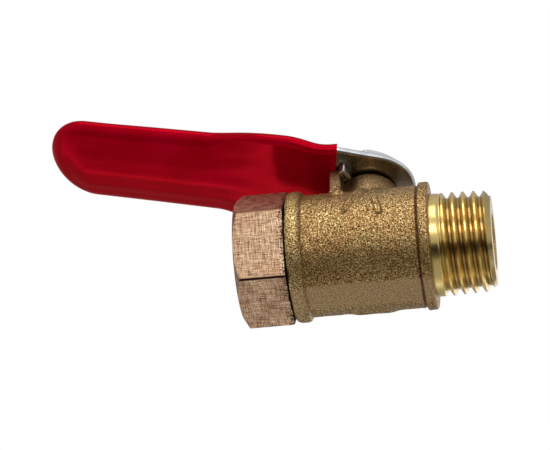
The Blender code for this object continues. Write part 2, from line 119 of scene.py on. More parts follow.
# Lever
LEVER_LEVEL = nut_low.z - GAP - 0.5 * MM
HEAD_RADIUS = lever_high.x
NECK_RISE = math.radians(20.5)
HANDLE_RISE = math.radians(15.7)
NECK_BEND = (4.0 * MM, 7.7 * MM)
HANDLE_BEND = (7.7 * MM, 10.8 * MM)
FOLD_ANGLE = math.radians(50)
FOLD_LENGTH = 4.0 * MM
FOLD_START = 11.8 * MM
FOLD_FULL = 23.0 * MM
HEAD_FLARE = math.radians(20.5)
TIP_BLUNTNESS = 0.87
GRIP_START = 4.9 * MM
GRIP_SLANT = 0.19
GRIP_SLANT_FADE = 4.5 * MM
EAR_AZIMUTH = math.radians(63)
EAR_SIZE = (1.8 * MM, 1.0 * MM, 2.9 * MM)
EAR_PLACE = (5.85 * MM, 0.0, 10.65 * MM)
SHEET_WAIST = 7.6 * MM               # half widths of the unfolded sheet inside its rounded edge
SHEET_NECK = 8.55 * MM
WAIST_TO_NECK = (4.0 * MM, 11.0 * MM)
SHEET_HANDLE = 6.54 * MM
SHEET_TIP = 6.33 * MM
TIP_CENTRE = 40.7 * MM
PLATE_HALF = 0.5 * MM
PLATE_EDGE = 0.45 * MM
GRIP_HALF = 0.88 * MM


# ---------------------------------------------------------------- meshes

def smooth_step(value, low, high):
    t = np.clip((value - low) / (high - low), 0.0, 1.0)
    return t * t * (3 - 2 * t)


def grain(points, size, seed):
    """Smooth noise from -1 to 1 at each point, with lumps of about the given size."""
    shift = Vector((seed * 7.3, seed * 3.1, seed * 5.7))
    flat = points.reshape(-1, 3)
    values = [noise.noise(Vector(p) / size + shift) for p in flat]
    return np.array(values).reshape(points.shape[:-1])


def on_axis(axis, height, radius, angles):
    """Points round an axis.  Angles run from Y to Z round X, and from X to Y round Z."""
    height, radius = np.broadcast_to(height, angles.shape), np.broadcast_to(radius, angles.shape)
    across, up = radius * np.cos(angles), radius * np.sin(angles)
    order = (height, across, up) if axis == "X" else (across, up, height)
    return np.stack(order, axis=-1)


def mesh_object(name, points, faces, slots, materials, sharp=35):
    """A mesh whose coincident points are merged and whose faces point outward."""
    mesh = bpy.data.meshes.new(name)
    mesh.from_pydata(points.reshape(-1, 3).tolist(), [], faces)
    for material in materials:
        mesh.materials.append(material)
    mesh.polygons.foreach_set("material_index", slots)
    shape = bmesh.new()
    shape.from_mesh(mesh)
    bmesh.ops.remove_doubles(shape, verts=shape.verts, dist=3e-7)
    bmesh.ops.dissolve_degenerate(shape, dist=1e-7, edges=shape.edges)
    bmesh.ops.recalc_face_normals(shape, faces=shape.faces)
    shape.to_mesh(mesh)
    shape.free()
    obj = linked(name, mesh)
    smooth(obj, sharp)
    return obj


def linked(name, data):
    obj = bpy.data.objects.new(name, data)
    bpy.context.scene.collection.objects.link(obj)
    return obj


def smooth(obj, sharp):
    obj.data.shade_smooth()
    obj.data.set_sharp_from_angle(angle=math.radians(sharp))


def paint(mesh, name, values):
    """Store a value at each point, for a material to read."""
    made = mesh.attributes.new(name, "FLOAT", "POINT")
    made.data.foreach_set("value", values.astype(np.float32))


def ring_mesh(name, bands, materials, closed=True, sharp=35):
    """A turned body from bands of rows.  A band is (rows, seam shift, material index).

    Each row holds one point for each angle.  A threaded band's rows wind along a helix, so at
    the seam the last point of a row meets the first point of the row one pitch further on.
    """
    rows, seam, slots = [], [], []
    for band, shift, slot in bands:
        first, last = len(rows), len(rows) + len(band) - 1
        for index, row in enumerate(band):
            rows.append(row)
            seam.append(min(max(first + index + shift, first), last))
            slots.append(slot)
    count, columns = len(rows), len(rows[0])
    faces, face_slots = [], []
    for k in range(count if closed else count - 1):
        after = (k + 1) % count
        for i in range(columns - 1):
            faces.append((k * columns + i, after * columns + i,
                          after * columns + i + 1, k * columns + i + 1))
        faces.append((k * columns + columns - 1, after * columns + columns - 1,
                      seam[after] * columns, seam[k] * columns))
        face_slots += [max(slots[k], slots[after])] * columns
    return mesh_object(name, np.array(rows), faces, face_slots, materials, sharp)


def turned(axis, angles, profile):
    """Rows of a profile of (radius, height) points; a radius may vary with the angle."""
    return [on_axis(axis, height, radius, angles) for radius, height in profile]


def even_angles(count):
    return np.arange(count) * TURN / count


def hexagon(half, edge, first_normal):
    """Angles and radii round a hexagon with rounded corners, starting at a corner."""
    tangent = math.tan(math.radians(30))
    reach = (half - edge) * tangent
    outline = []
    for side in range(6):
        normal = first_normal + side * math.radians(60)
        flat = [(half, reach * t) for t in np.linspace(-1, 1, 25)]
        arc = []
        for step in range(1, 6):
            a = math.radians(10 * step)
            arc.append((half - edge + edge * math.cos(a), reach + edge * math.sin(a)))
        for out, along in flat + arc:
            outline.append((out * math.cos(normal) - along * math.sin(normal),
                            out * math.sin(normal) + along * math.cos(normal)))
    outline = np.array(outline)
    angles = np.arctan2(outline[:, 1], outline[:, 0]) % TURN
    order = np.argsort(angles)
    return angles[order], np.hypot(outline[:, 0], outline[:, 1])[order]


def thread_rows(axis, angles, low, high, pitch, radius_at):
    """Rows of a screw thread.  Its share of full depth is 0 on a crest and 1 in a root."""
    wind = angles / TURN
    rows = []
    for k in range((int((high - low) / pitch) + 4) * STATIONS):
        height = np.clip(low + pitch * (k / STATIONS - 1 + wind), low, high)
        phase = ((height - low) / pitch - wind) % 1.0
        depth = np.interp(phase, [0, 1 / 6, 1 / 2, 2 / 3, 1], [0, 0, 1, 1, 0])
        rows.append(on_axis(axis, height, radius_at(height, depth, angles), angles))
    return rows


def cut(obj, other, operation):
    """Apply a Boolean with another object, which is then removed."""
    bpy.context.view_layer.update()
    modifier = obj.modifiers.new(operation, "BOOLEAN")
    modifier.operation = operation
    modifier.solver = "EXACT"
    modifier.object = other
    graph = bpy.context.evaluated_depsgraph_get()
    mesh = bpy.data.meshes.new_from_object(obj.evaluated_get(graph), depsgraph=graph)
    obj.modifiers.clear()
    obj.data = mesh
    bpy.data.objects.remove(other)


def rounded_box(name, size, rounding, materials, segments=3):
    shape = bmesh.new()
    bmesh.ops.create_cube(shape, size=1.0)
    bmesh.ops.scale(shape, verts=shape.verts, vec=size)
    bmesh.ops.bevel(shape, geom=shape.edges[:], offset=rounding, segments=segments,
                    profile=0.5, affect="EDGES")
    mesh = bpy.data.meshes.new(name)
    shape.to_mesh(mesh)
    shape.free()
    for material in materials:
        mesh.materials.append(material)
    mesh.shade_smooth()
    return linked(name, mesh)


# ---------------------------------------------------------------- materials

def node(tree, kind, inputs=(), **settings):
    made = tree.nodes.new(kind)
    for key, value in settings.items():
        setattr(made, key, value)
    for key, value in dict(inputs).items():
        if isinstance(value, bpy.types.NodeSocket):
            tree.links.new(value, made.inputs[key])
        else:
            made.inputs[key].default_value = value
    return made


def new_look(name, **plain):
    """A material with its node tree, its shader and coordinates in the row frame at rest."""
    material = bpy.data.materials.new(name)
    material.use_nodes = True
    tree = material.node_tree
    shader = tree.nodes["Principled BSDF"]
    for key, value in plain.items():
        shader.inputs[key.replace("_", " ")].default_value = value
    coords = node(tree, "ShaderNodeTexCoord").outputs["Object"]
    return material, tree, shader, coords


def scaled(tree, coords, stretch):
    return node(tree, "ShaderNodeVectorMath", {0: coords, 1: stretch},
                operation="MULTIPLY").outputs["Vector"]


def speckle(tree, coords, size, detail=2.0, roughness=0.5):
    """Noise from 0 to 1 with lumps of the given size in metres."""
    return node(tree, "ShaderNodeTexNoise",
                {"Vector": coords, "Scale": 1 / size, "Detail": detail,
                 "Roughness": roughness}).outputs["Fac"]


def ramp(tree, value, *stops):
    made = node(tree, "ShaderNodeValToRGB", {"Fac": value})
    while len(made.color_ramp.elements) < len(stops):
        made.color_ramp.elements.new(0.5)
    for element, (place, colour) in zip(made.color_ramp.elements, stops):
        element.position = place
        element.color = (*colour, 1.0)
    return made.outputs["Color"]


def span(tree, value, low, high, start=0.0, end=1.0):
    return node(tree, "ShaderNodeMapRange",
                {"Value": value, "From Min": low, "From Max": high,
                 "To Min": start, "To Max": end}).outputs["Result"]


def mixed(tree, share, first, second, blend_type="MIX"):
    made = node(tree, "ShaderNodeMix", {0: share, 6: first, 7: second}, data_type="RGBA",
                blend_type=blend_type)
    return made.outputs[2]


def maths(tree, operation, first, second=0.5):
    return node(tree, "ShaderNodeMath", {0: first, 1: second}, operation=operation).outputs[0]


def bumped(tree, height, strength, distance, normal=None):
    inputs = {"Height": height, "Strength": strength, "Distance": distance}
    if normal:
        inputs["Normal"] = normal
    return node(tree, "ShaderNodeBump", inputs).outputs["Normal"]


def attribute(tree, name):
    return node(tree, "ShaderNodeAttribute", attribute_name=name).outputs["Fac"]


def along_pipe(tree, coords):
    return node(tree, "ShaderNodeSeparateXYZ", {0: coords}).outputs["X"]


def dress(tree, shader, colour, roughness, normal):
    for name, socket in (("Base Color", colour), ("Roughness", roughness), ("Normal", normal)):
        tree.links.new(socket, shader.inputs[name])


def cast_brass():
    """Sand-blasted casting: fine bright grain over brown, smoother where it was trimmed, with
    painted shade in the recesses.
    """
    material, tree, shader, coords = new_look("cast_brass_blasted", Metallic=1.0)
    fine = speckle(tree, coords, 0.17 * MM, 2.0, 0.6)
    coarse = speckle(tree, coords, 0.42 * MM)
    broad = speckle(tree, coords, 4.0 * MM)
    colour = ramp(tree, fine, (0.32, (0.050, 0.024, 0.008)), (0.45, (0.26, 0.150, 0.055)),
                  (0.55, (0.50, 0.325, 0.130)), (0.66, (1.0, 0.80, 0.44)))
    shade = ramp(tree, coarse, (0.32, (0.66, 0.60, 0.54)), (0.6, (1.0, 1.0, 1.0)))
    colour = mixed(tree, 0.6, colour, shade, "MULTIPLY")
    tint = ramp(tree, broad, (0.35, (0.95, 0.84, 0.78)), (0.65, (1.0, 1.0, 0.92)))
    colour = mixed(tree, 1.0, colour, tint, "MULTIPLY")
    yellow = ramp(tree, fine, (0.32, (0.11, 0.062, 0.012)), (0.5, (0.46, 0.32, 0.10)),
                  (0.64, (1.0, 0.84, 0.45)))
    colour = mixed(tree, attribute(tree, "bead"), colour, yellow)
    plain = mixed(tree, fine, (0.26, 0.165, 0.080, 1), (0.58, 0.40, 0.22, 1))
    trimmed = maths(tree, "MULTIPLY", attribute(tree, "trimmed"), 0.65)
    colour = mixed(tree, trimmed, colour, plain)
    # Painted shade: near black in the groove by the collar and round the feet of the neck and the
    # post.
    recess_shade = maths(tree, "MULTIPLY", attribute(tree, "recess_shade"), 0.8)
    colour = mixed(tree, recess_shade, colour, (0.06, 0.03, 0.02, 1))
    relief = bumped(tree, fine, 0.9, 0.07 * MM)
    dress(tree, shader, colour, span(tree, fine, 0.35, 0.65, 0.60, 0.34),
          bumped(tree, coarse, 0.5, 0.08 * MM, relief))
    return material


def machined_brass():
    """Turned brass inside the body and on the neck's top."""
    material, tree, shader, coords = new_look("machined_brass_dull", Metallic=1.0)
    rings = speckle(tree, scaled(tree, coords, (1.0, 1.0, 8.0)), 0.9 * MM, 3.0)
    colour = ramp(tree, rings, (0.3, (0.38, 0.24, 0.10)), (0.7, (0.66, 0.46, 0.20)))
    dress(tree, shader, colour, span(tree, rings, 0.3, 0.7, 0.4, 0.26),
          bumped(tree, rings, 0.3, 0.02 * MM))
    return material


def polished_brass():
    """Freshly cut thread: bright yellow with fine turning lines, with painted shade low in the
    roots and on the end chamfer.
    """
    material, tree, shader, coords = new_look("polished_brass_thread", Metallic=1.0)
    lines = speckle(tree, scaled(tree, coords, (1.0, 0.06, 0.06)), 0.07 * MM, 3.0)
    spots = speckle(tree, coords, 0.26 * MM, 3.0, 0.65)
    broad = speckle(tree, coords, 2.2 * MM)
    colour = ramp(tree, broad, (0.3, (0.70, 0.50, 0.17)), (0.7, (0.86, 0.66, 0.27)))
    colour = mixed(tree, span(tree, spots, 0.62, 0.72), colour, (0.16, 0.075, 0.015, 1))
    # Painted shade: darker low in the thread roots.
    deep = span(tree, attribute(tree, "root"), 0.25, 1.0, 0.0, 0.6)
    colour = mixed(tree, deep, colour, (0.22, 0.11, 0.03, 1))
    # Painted shade: the end chamfer darkened in place of its bright reflection.
    end_chamfer_shade = span(tree, along_pipe(tree, coords), MALE_END - 0.95 * MM, MALE_END - 0.7 * MM,
                   0.0, 0.6)
    colour = mixed(tree, end_chamfer_shade, colour, (0.26, 0.19, 0.08, 1))
    dress(tree, shader, colour, span(tree, lines, 0.3, 0.7, 0.14, 0.26),
          bumped(tree, lines, 0.5, 0.012 * MM))
    return material


def joint_gap_shade():
    """Painted shade: the spigot band seen in the gap where the connector is screwed into the body,
    near black with lumps.
    """
    material, tree, shader, coords = new_look("joint_gap_shade", Metallic=0.0)
    lumps = speckle(tree, coords, 0.3 * MM, 3.0)
    colour = ramp(tree, lumps, (0.4, (0.014, 0.008, 0.006)), (0.7, (0.09, 0.05, 0.03)))
    dress(tree, shader, colour, span(tree, lumps, 0.3, 0.7, 0.45, 0.8),
          bumped(tree, lumps, 0.8, 0.08 * MM))
    return material


def forged_hex():
    """Drawn hexagon brass: pinkish tan, crossed by fine draw lines and cutter lines."""
    material, tree, shader, coords = new_look("hexagon_brass", Metallic=1.0)
    around = speckle(tree, scaled(tree, coords, (1.0, 0.05, 0.05)), 0.075 * MM, 2.0, 0.7)
    along = speckle(tree, scaled(tree, coords, (0.06, 1.0, 1.0)), 0.085 * MM, 2.0, 0.7)
    pits = speckle(tree, coords, 0.2 * MM, 2.0, 0.6)
    broad = speckle(tree, coords, 2.6 * MM, 3.0)
    weave = maths(tree, "MULTIPLY", maths(tree, "ADD", around, along), 0.5)
    colour = ramp(tree, weave, (0.38, (0.12, 0.065, 0.038)), (0.47, (0.46, 0.28, 0.165)),
                  (0.55, (0.66, 0.43, 0.27)), (0.64, (1.0, 0.78, 0.54)))
    stains = ramp(tree, broad, (0.3, (0.74, 0.66, 0.58)), (0.62, (1.0, 1.0, 1.0)))
    colour = mixed(tree, 0.7, colour, stains, "MULTIPLY")
    blotched = ramp(tree, speckle(tree, coords, 0.9 * MM, 4.0, 0.7),
                    (0.38, (0.40, 0.17, 0.10)), (0.52, (0.70, 0.40, 0.26)),
                    (0.66, (0.95, 0.66, 0.50)))
    tarnish = maths(tree, "MULTIPLY", attribute(tree, "tarnish"), 0.85)
    colour = mixed(tree, tarnish, colour, blotched)
    dirty = span(tree, along_pipe(tree, coords), HEX_RIGHT - 1.1 * MM, HEX_RIGHT, 0.0, 0.20)
    soiled = span(tree, maths(tree, "ADD", pits, dirty), 0.66, 0.71)
    colour = mixed(tree, soiled, colour, (0.05, 0.022, 0.015, 1))

    # Darker lines along the two long edges between the near faces.
    across = scaled(tree, coords, (0.0, 1.0, 1.0))
    for y, z, width, shade in ((-4.58 * MM, -HEX_HALF, 0.24 * MM, (0.03, 0.015, 0.01, 1)),
                               (-9.16 * MM, 0.0, 0.15 * MM, (0.24, 0.10, 0.06, 1))):
        away = node(tree, "ShaderNodeVectorMath", {0: across, 1: (0.0, y, z)},
                    operation="DISTANCE").outputs["Value"]
        colour = mixed(tree, span(tree, away, width, width * 0.6), colour, shade)
    dress(tree, shader, colour, span(tree, weave, 0.35, 0.65, 0.5, 0.3),
          bumped(tree, weave, 0.6, 0.02 * MM))
    return material


def zinc_steel():
    """Bright zinc plate with a soft crystalline bloom, a few scuffs and painted shade on the
    underside.
    """
    material, tree, shader, coords = new_look("zinc_plated_steel", Metallic=1.0)
    bloom = speckle(tree, coords, 1.6 * MM, 3.0, 0.6)
    scuffs = speckle(tree, scaled(tree, coords, (0.12, 1.0, 1.0)), 0.11 * MM, 3.0)
    colour = ramp(tree, bloom, (0.3, (0.62, 0.63, 0.66)), (0.7, (0.90, 0.91, 0.93)))
    colour = mixed(tree, span(tree, scuffs, 0.62, 0.74), colour, (0.42, 0.42, 0.44, 1))
    # Painted shade: a dark grey-brown below the plate and on its ears.
    under_shade_colour = ramp(tree, bloom, (0.3, (0.10, 0.085, 0.07)), (0.7, (0.30, 0.27, 0.22)))
    under_shade = maths(tree, "MULTIPLY", attribute(tree, "under_shade"), 0.9)
    dress(tree, shader, mixed(tree, under_shade, colour, under_shade_colour),
          span(tree, bloom, 0.3, 0.7, 0.34, 0.2), bumped(tree, scuffs, 0.25, 0.01 * MM))
    return material


def red_vinyl():
    """Dipped vinyl: deep glossy red, faintly uneven, with a few pale specks of dust."""
    material, tree, shader, coords = new_look(
        "red_dipped_vinyl", Metallic=0.45, Specular_IOR_Level=0.05,
        Specular_Tint=(1.0, 0.10, 0.16, 1.0))
    broad = speckle(tree, coords, 6.0 * MM)
    ripple = speckle(tree, scaled(tree, coords, (0.35, 1.0, 1.0)), 2.4 * MM)
    skin = speckle(tree, coords, 0.3 * MM)
    dust = node(tree, "ShaderNodeTexVoronoi", {"Vector": coords, "Scale": 420.0})
    luck = node(tree, "ShaderNodeSeparateColor", {0: dust.outputs["Color"]}).outputs[0]
    dots = maths(tree, "MULTIPLY", maths(tree, "LESS_THAN", dust.outputs["Distance"], 0.055),
                 maths(tree, "GREATER_THAN", luck, 0.86))
    colour = ramp(tree, broad, (0.3, (0.36, 0.0, 0.006)), (0.7, (0.44, 0.0, 0.012)))
    relief = bumped(tree, ripple, 0.35, 0.12 * MM)
    dress(tree, shader, mixed(tree, dots, colour, (0.75, 0.45, 0.42, 1)),
          span(tree, broad, 0.3, 0.7, 0.22, 0.16), bumped(tree, skin, 0.12, 0.01 * MM, relief))
    return material


def chrome_plate():
    material, tree, shader, coords = new_look("chrome_plate_ball", Metallic=1.0)
    haze = speckle(tree, coords, 1.1 * MM, 3.0)
    colour = ramp(tree, haze, (0.3, (0.66, 0.67, 0.69)), (0.7, (0.82, 0.83, 0.85)))
    dress(tree, shader, colour, span(tree, haze, 0.3, 0.7, 0.05, 0.13),
          bumped(tree, haze, 0.05, 0.01 * MM))
    return material


def ptfe_white():
    material, tree, shader, coords = new_look("ptfe_seat", Subsurface_Weight=0.15,
                                              Subsurface_Scale=0.5 * MM)
    rings = speckle(tree, scaled(tree, coords, (6.0, 1.0, 1.0)), 0.8 * MM, 3.0)
    colour = ramp(tree, rings, (0.3, (0.74, 0.73, 0.69)), (0.7, (0.88, 0.88, 0.85)))
    dress(tree, shader, colour, span(tree, rings, 0.3, 0.7, 0.42, 0.55),
          bumped(tree, rings, 0.2, 0.01 * MM))
    return material


def nitrile_black():
    material, tree, shader, coords = new_look("nitrile_ring", Metallic=0.0)
    bloom = speckle(tree, coords, 0.5 * MM, 3.0)
    colour = ramp(tree, bloom, (0.3, (0.010, 0.010, 0.011)), (0.7, (0.032, 0.031, 0.030)))
    dress(tree, shader, colour, span(tree, bloom, 0.3, 0.7, 0.42, 0.62),
          bumped(tree, bloom, 0.3, 0.01 * MM))
    return material


# ---------------------------------------------------------------- body casting

def distance_to_bar(x, arc, start, end):
    """Distance on the unrolled body from a short straight bar."""
    run = np.array(end) - np.array(start)
    along = ((x - start[0]) * run[0] + (arc - start[1]) * run[1]) / (run @ run)
    along = np.clip(along, 0, 1)
    return np.hypot(x - start[0] - along * run[0], arc - start[1] - along * run[1])


def plateau(x, low, high, edge):
    """1 between low and high, with rounded shoulders of the given length."""
    inside = np.clip(np.minimum(x - low, high - x) / edge, 0, 1)
    return np.sqrt(np.clip(1 - (1 - inside) ** 2, 0, 1))


MARK_ANGLE = math.radians(180)       # the unrolled arc is measured from here
MARK_BARS = [                        # raised strokes of a generic cast mark: ends and height
    ((-2.25 * MM, 0.4 * MM), (-0.30 * MM, -5.9 * MM), 0.36 * MM),
    ((1.10 * MM, -4.2 * MM), (-0.30 * MM, -0.7 * MM), 0.16 * MM),
    ((1.60 * MM, -1.5 * MM), (2.20 * MM, 1.0 * MM), 0.34 * MM),
]
STRIP_HALF_ANGLE = math.radians(14.5)


def cast_radius(x, angles):
    """Outer radius of the casting, with the marks and the pad that its surface carries."""
    base = np.full_like(angles, BODY_RADIUS)
    base = base + (BEAD_RADIUS - BODY_RADIUS) * plateau(x, BODY_LEFT - 0.2 * MM, BEAD_RIGHT,
                                                        0.85 * MM)
    collar = plateau(x, COLLAR_LEFT, COLLAR_RIGHT + 0.02 * MM, 0.22 * MM)
    base = base + (COLLAR_RADIUS - BODY_RADIUS) * collar
    groove = np.exp(-((x - COLLAR_LEFT + 0.16 * MM) / (0.11 * MM)) ** 2)
    base = base - 0.12 * MM * groove

    # Trimmed flat along the bottom, where the casting left its mould.
    below = np.abs((angles - math.radians(270) + math.pi) % TURN - math.pi)
    chord = np.cos(STRIP_HALF_ANGLE) / np.cos(np.minimum(below, STRIP_HALF_ANGLE))
    base = base * np.minimum(chord, 1.0)

    # Raised strokes and a boss on the side, and a low pad on the far lower side.
    arc = BODY_RADIUS * (angles - MARK_ANGLE)
    for start, end, height in MARK_BARS:
        near = distance_to_bar(x, arc, start, end)
        base = base + height * smooth_step(-near, -0.56 * MM, -0.26 * MM)
    boss = np.hypot(x + 3.45 * MM, arc + 5.0 * MM)
    base = base + 0.50 * MM * smooth_step(-boss, -1.1 * MM, -0.4 * MM)
    pad_angle = (angles - math.radians(316)) * BODY_RADIUS
    pad = np.hypot((x - 0.1 * MM) / 3.6, pad_angle / 2.6)
    base = base + 0.24 * MM * smooth_step(-pad, -1.0 * MM, -0.55 * MM)

    # Fillets where the neck and the post grow out of the body.
    y, z = base * np.cos(angles), base * np.sin(angles)
    upper = z > 0
    to_neck = np.hypot(x, y) - NECK_RADIUS
    to_post = np.maximum(np.abs(x - POST_CENTRE), np.abs(y - POST_CENTRE)) - POST_WIDTH / 2
    for distance, fillet in ((to_neck, 0.8 * MM), (to_post, 0.45 * MM)):
        inward = np.clip(fillet - np.maximum(distance, 0.0), 0.0, fillet)
        rise = fillet - np.sqrt(fillet ** 2 - inward ** 2)
        base = base + np.where(upper, rise, 0.0)
    return base


def cast_stations():
    """Places along the casting, closer together at the bead, the groove and the collar."""
    bead = np.linspace(BODY_LEFT, BEAD_RIGHT + 0.1 * MM, 20)
    barrel = np.linspace(BEAD_RIGHT + 0.25 * MM, COLLAR_LEFT - 0.6 * MM, 110)
    collar = np.linspace(COLLAR_LEFT - 0.45 * MM, COLLAR_LEFT + 0.3 * MM, 14)
    rim = np.linspace(COLLAR_LEFT + 0.45 * MM, COLLAR_RIGHT - 0.28 * MM, 6)
    lip = np.linspace(COLLAR_RIGHT - 0.2 * MM, COLLAR_RIGHT, 5)
    return np.concatenate([bead, barrel, collar, rim, lip])


def male_radius(x, depth, _):
    """Radius of the male pipe thread, cut from a plain shank and chamfered at its end."""
    taper = np.minimum(MALE_CREST + (MALE_END - x) * PIPE_TAPER, SHANK_RADIUS)
    crest = np.minimum(taper, MALE_CREST - (x - MALE_END + MALE_CHAMFER) * 0.95)
    start = smooth_step(x, SHANK_RIGHT, SHANK_RIGHT + 0.9 * MM)
    return np.minimum(crest, taper - PIPE_DEPTH * depth * start)


def build_casting(cast, dull, bright):
    angles = even_angles(288)
    skin = np.array([on_axis("X", x, cast_radius(x, angles), angles) for x in cast_stations()])
    outward = skin * np.array([0.0, 1.0, 1.0])
    outward /= np.linalg.norm(outward, axis=-1, keepdims=True)
    below = np.abs((angles - math.radians(270) + math.pi) % TURN - math.pi)
    rough = 1 - 0.6 * smooth_step(-below, -STRIP_HALF_ANGLE * 1.1, -STRIP_HALF_ANGLE * 0.9)
    bumps = 0.030 * MM * grain(skin, 0.42 * MM, 1) + 0.045 * MM * grain(skin, 1.5 * MM, 2)
    skin = skin + outward * (bumps * rough[None, :])[..., None]

    face = turned("X", angles, [(SHANK_RADIUS, COLLAR_RIGHT + 0.02 * MM)])
    shank = [(SHANK_RADIUS, COLLAR_RIGHT + 0.03 * MM), (SHANK_RADIUS, SHANK_RIGHT)]
    thread = thread_rows("X", angles, SHANK_RIGHT, MALE_END, PIPE_PITCH, male_radius)
    bore = [
        (FLOW_RADIUS + 0.35 * MM, MALE_END),
        (FLOW_RADIUS, MALE_END - 0.35 * MM),
        (FLOW_RADIUS, CAVITY_RIGHT),
        (CAVITY_RADIUS, CAVITY_RIGHT),
        (CAVITY_RADIUS, SPIGOT_END + GAP),
        (SPIGOT_RADIUS + GAP, SPIGOT_END + GAP),
        (SPIGOT_RADIUS + GAP, BODY_LEFT),
    ]
    bands = [
        (list(skin), 0, 0),
        (face, 0, 0),
        (turned("X", angles, shank), 0, 2),
        (thread, STATIONS, 2),
        (turned("X", angles, bore), 0, 1),
    ]
    body = ring_mesh("body_casting", bands, [cast, dull, bright])

    cut(body, build_neck(cast, dull, bright), "UNION")
    cut(body, build_post(cast, dull, bright), "UNION")
    hole = ring_mesh("stem_hole", [(turned("Z", even_angles(64), [
        (0.0, 1.0 * MM), (SHOULDER_BORE, 1.0 * MM), (SHOULDER_BORE, SHOULDER_BORE_TOP),
        (STEM_BORE, SHOULDER_BORE_TOP), (STEM_BORE, NECK_TOP + 1 * MM),
        (0.0, NECK_TOP + 1 * MM)]), 0, 1)], [cast, dull, bright], closed=False)
    cut(body, hole, "DIFFERENCE")
    body.name = "body_casting"
    mark_casting(body.data)
    smooth(body, 38)
    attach(body, "housing")
    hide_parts("valve_body")


def build_neck(*materials):
    angles = even_angles(120)
    foot = BODY_RADIUS - 1.5 * MM
    levels = np.linspace(foot, NECK_TOP - 0.36 * MM, 30)
    side = np.array([on_axis("Z", z, NECK_RADIUS, angles) for z in levels])
    outward = side * np.array([1.0, 1.0, 0.0])
    outward /= np.linalg.norm(outward, axis=-1, keepdims=True)
    side = side + outward * (0.028 * MM * grain(side, 0.42 * MM, 3))[..., None]
    top = [(NECK_RADIUS - 0.05 * MM, NECK_TOP - 0.24 * MM),
           (NECK_RADIUS - 0.26 * MM, NECK_TOP - 0.03 * MM),
           (NECK_RADIUS - 0.36 * MM, NECK_TOP), (0.0, NECK_TOP)]
    bands = [(turned("Z", angles, [(0.0, foot)]), 0, 0), (list(side), 0, 0),
             (turned("Z", angles, top), 0, 1)]
    return ring_mesh("neck", bands, list(materials), closed=False)


def build_post(*materials):
    low = BODY_RADIUS - 2.6 * MM
    size = (POST_WIDTH, POST_WIDTH, POST_TOP - low)
    post = rounded_box("post", size, 0.16 * MM, materials, 2)
    shape = bmesh.new()
    shape.from_mesh(post.data)
    bmesh.ops.subdivide_edges(shape, edges=[e for e in shape.edges if e.calc_length() > MM],
                              cuts=7, use_grid_fill=True)
    for vert in shape.verts:
        place = vert.co / (0.7 * MM)
        vert.co += vert.normal * 0.03 * MM * noise.noise(place)
        vert.co += Vector((POST_CENTRE, POST_CENTRE, (POST_TOP + low) / 2))
    shape.to_mesh(post.data)
    shape.free()
    return post


def mark_casting(mesh):
    """Point values that the brass materials read."""
    x, y, z = np.array([v.co for v in mesh.vertices]).T
    angle = np.abs(np.arctan2(y, -z))
    radius = np.hypot(y, z)
    flat = smooth_step(-angle, -STRIP_HALF_ANGLE * 1.15, -STRIP_HALF_ANGLE * 0.9)
    upright = (z > NECK_RADIUS + 4.0 * MM) * (np.hypot(x, y) < 7.0 * MM) * 0.8
    paint(mesh, "trimmed", np.maximum(flat, upright))
    paint(mesh, "bead",
          smooth_step(-x, -BEAD_RIGHT - 0.1 * MM, -BEAD_RIGHT + 0.9 * MM) * 0.35)

    # Painted shade: the collar groove and the feet of the neck and the post, darkened where shade
    # falls.
    groove = np.exp(-((x - COLLAR_LEFT + 0.14 * MM) / (0.12 * MM)) ** 2) * (radius < 9 * MM)
    neck = np.hypot(x, y) - NECK_RADIUS
    foot = smooth_step(-neck, -0.7 * MM, 0.0) * (z > 0) * (neck > 0.02 * MM) * 0.6
    near_post = (np.hypot(x - POST_CENTRE, y - POST_CENTRE) < 1.6 * MM) * (z > 0)
    foot = np.maximum(foot, near_post * smooth_step(-z, -8.6 * MM, -7.6 * MM) * 0.5)
    paint(mesh, "recess_shade", np.clip(groove + foot, 0, 1))

    # Painted shade: how deep each point lies in the thread's roots, for the thread material to
    # darken there.
    crest = np.minimum(MALE_CREST + (MALE_END - x) * PIPE_TAPER, SHANK_RADIUS)
    threaded = (x > SHANK_RIGHT) * (x < MALE_END - MALE_CHAMFER)
    paint(mesh, "root", np.clip((crest - radius) / PIPE_DEPTH, 0, 1) * threaded)


# ---------------------------------------------------------------- end connector

